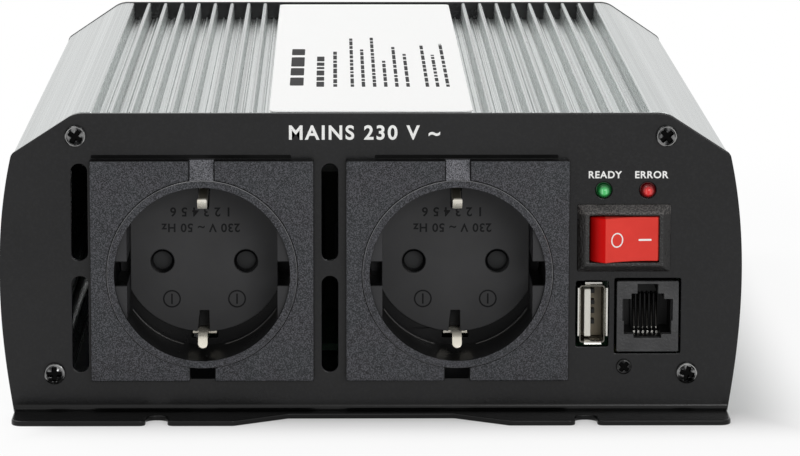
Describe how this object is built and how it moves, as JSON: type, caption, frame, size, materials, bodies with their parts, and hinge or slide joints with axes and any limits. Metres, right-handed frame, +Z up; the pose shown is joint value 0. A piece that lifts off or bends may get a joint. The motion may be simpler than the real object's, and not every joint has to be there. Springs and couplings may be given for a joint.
{
  "type": "power inverter",
  "caption": "Mains power inverter: finned aluminium case, black folded end panels, earthed sockets, red rocker switch, charging port, rear fan and cable posts.",
  "frame": {"origin": "middle of the underside, on the surface that the inverter stands on", "axes": "+X to the right and +Y to the rear, seen from the sockets; +Z up"},
  "size_m": [0.1656, 0.246, 0.069],
  "materials": {
    "case_aluminium": "satin",
    "plate_zinc": "satin",
    "panel_black": "satin",
    "label_white": "satin",
    "screw_black": "gloss",
    "socket_charcoal": "matte",
    "cover_black": "matte",
    "shutter_grey": "matte",
    "contact_brass": "satin",
    "earth_steel": "satin",
    "terminal_steel": "satin",
    "switch_black": "gloss",
    "rocker_red": "gloss",
    "lamp_green": "gloss",
    "lamp_red": "gloss",
    "port_white": "matte",
    "jack_charcoal": "matte",
    "board_green": "satin",
    "fan_black": "satin",
    "guard_chrome": "gloss",
    "post_red": "satin",
    "post_black": "satin",
    "core_grey": "matte",
    "can_black": "gloss",
    "winding_copper": "gloss",
    "clamp_aluminium": "satin"
  },
  "bodies": {
    "case": {"case_extrusion": "case_aluminium", "bottom_plate": "plate_zinc", "top_label": "label_white", "front_panel": "panel_black", "rear_panel": "panel_black", "front_screw_1": "screw_black", "front_screw_2": "screw_black", "front_screw_3": "screw_black", "front_screw_4": "screw_black", "rear_screw_1": "screw_black", "rear_screw_2": "screw_black", "rear_screw_3": "screw_black", "rear_screw_4": "screw_black", "left_socket_frame": "socket_charcoal", "left_socket_earth_strip": "earth_steel", "left_socket_back_cover": "cover_black", "left_socket_contact_left": "contact_brass", "left_socket_contact_right": "contact_brass", "right_socket_frame": "socket_charcoal", "right_socket_earth_strip": "earth_steel", "right_socket_back_cover": "cover_black", "right_socket_contact_left": "contact_brass", "right_socket_contact_right": "contact_brass", "switch_housing": "switch_black", "switch_terminal_common": "terminal_steel", "switch_terminal_load": "terminal_steel", "power_lamp": "lamp_green", "fault_lamp": "lamp_red", "usb_shell": "terminal_steel", "usb_tongue": "port_white", "jack_housing": "jack_charcoal", "jack_contacts": "contact_brass", "port_board": "board_green", "board_post": "contact_brass", "board_screw": "screw_black", "fan_frame": "fan_black", "fan_guard": "guard_chrome", "positive_insulator": "post_red", "positive_stud": "contact_brass", "negative_insulator": "post_black", "negative_stud": "contact_brass", "ground_screw": "terminal_steel", "main_board": "board_green", "transformer_left": "core_grey", "transformer_right": "core_grey", "input_capacitor": "can_black", "output_capacitor": "can_black", "choke": "winding_copper", "transistor_bank_left": "clamp_aluminium", "transistor_bank_right": "clamp_aluminium", "control_card": "board_green"},
    "rocker": {"switch_rocker": "rocker_red"},
    "contact_blade": {"switch_blade": "contact_brass"},
    "left_shutter": {"left_socket_shutter": "shutter_grey"},
    "right_shutter": {"right_socket_shutter": "shutter_grey"},
    "fan": {"fan_rotor": "fan_black"},
    "positive_lug_washer": {"positive_washer": "terminal_steel"},
    "positive_nut": {"positive_knob": "post_red"},
    "negative_lug_washer": {"negative_washer": "terminal_steel"},
    "negative_nut": {"negative_knob": "post_black"}
  },
  "joints": [
    {"name": "rocker_tilt", "type": "hinge", "parent": "case", "child": "rocker", "pos_m": [0.0566, -0.102, 0.0404], "axis": [0, 0, -1], "range_deg": [0, 28]},
    {"name": "blade_tip", "type": "hinge", "parent": "case", "child": "contact_blade", "pos_m": [0.0566, -0.0951, 0.0404], "axis": [0, 0, 1], "range_deg": [0, 16]},
    {"name": "left_shutter_turn", "type": "hinge", "parent": "case", "child": "left_shutter", "pos_m": [-0.0378, -0.0872, 0.03265], "axis": [0, 1, 0], "range_deg": [0, 38], "stiffness_Nm_per_rad": 0.002, "springref_deg": -11.46},
    {"name": "right_shutter_turn", "type": "hinge", "parent": "case", "child": "right_shutter", "pos_m": [0.0193, -0.0872, 0.03265], "axis": [0, 1, 0], "range_deg": [0, 38], "stiffness_Nm_per_rad": 0.002, "springref_deg": -11.46},
    {"name": "fan_spin", "type": "hinge", "parent": "case", "child": "fan", "pos_m": [-0.0308, 0.0935, 0.0318], "axis": [0, 1, 0], "continuous": true},
    {"name": "positive_washer_slide", "type": "slide", "parent": "case", "child": "positive_lug_washer", "axis": [0, 1, 0], "range_m": [0, 0.005]},
    {"name": "positive_knob_turn", "type": "hinge", "parent": "positive_lug_washer", "child": "positive_nut", "pos_m": [0.024, 0.1205, 0.034], "axis": [0, 1, 0], "range_deg": [0, 1441]},
    {"name": "negative_washer_slide", "type": "slide", "parent": "case", "child": "negative_lug_washer", "axis": [0, 1, 0], "range_m": [0, 0.005]},
    {"name": "negative_knob_turn", "type": "hinge", "parent": "negative_lug_washer", "child": "negative_nut", "pos_m": [0.054, 0.1205, 0.034], "axis": [0, 1, 0], "range_deg": [0, 1441]}
  ],
  "couplings": [
    {"joint": "blade_tip", "follows": "rocker_tilt", "ratio": 0.5714},
    {"joint": "positive_knob_turn", "follows": "positive_washer_slide", "rad_per_m": 5026.5},
    {"joint": "negative_knob_turn", "follows": "negative_washer_slide", "rad_per_m": 5026.5}
  ]
}
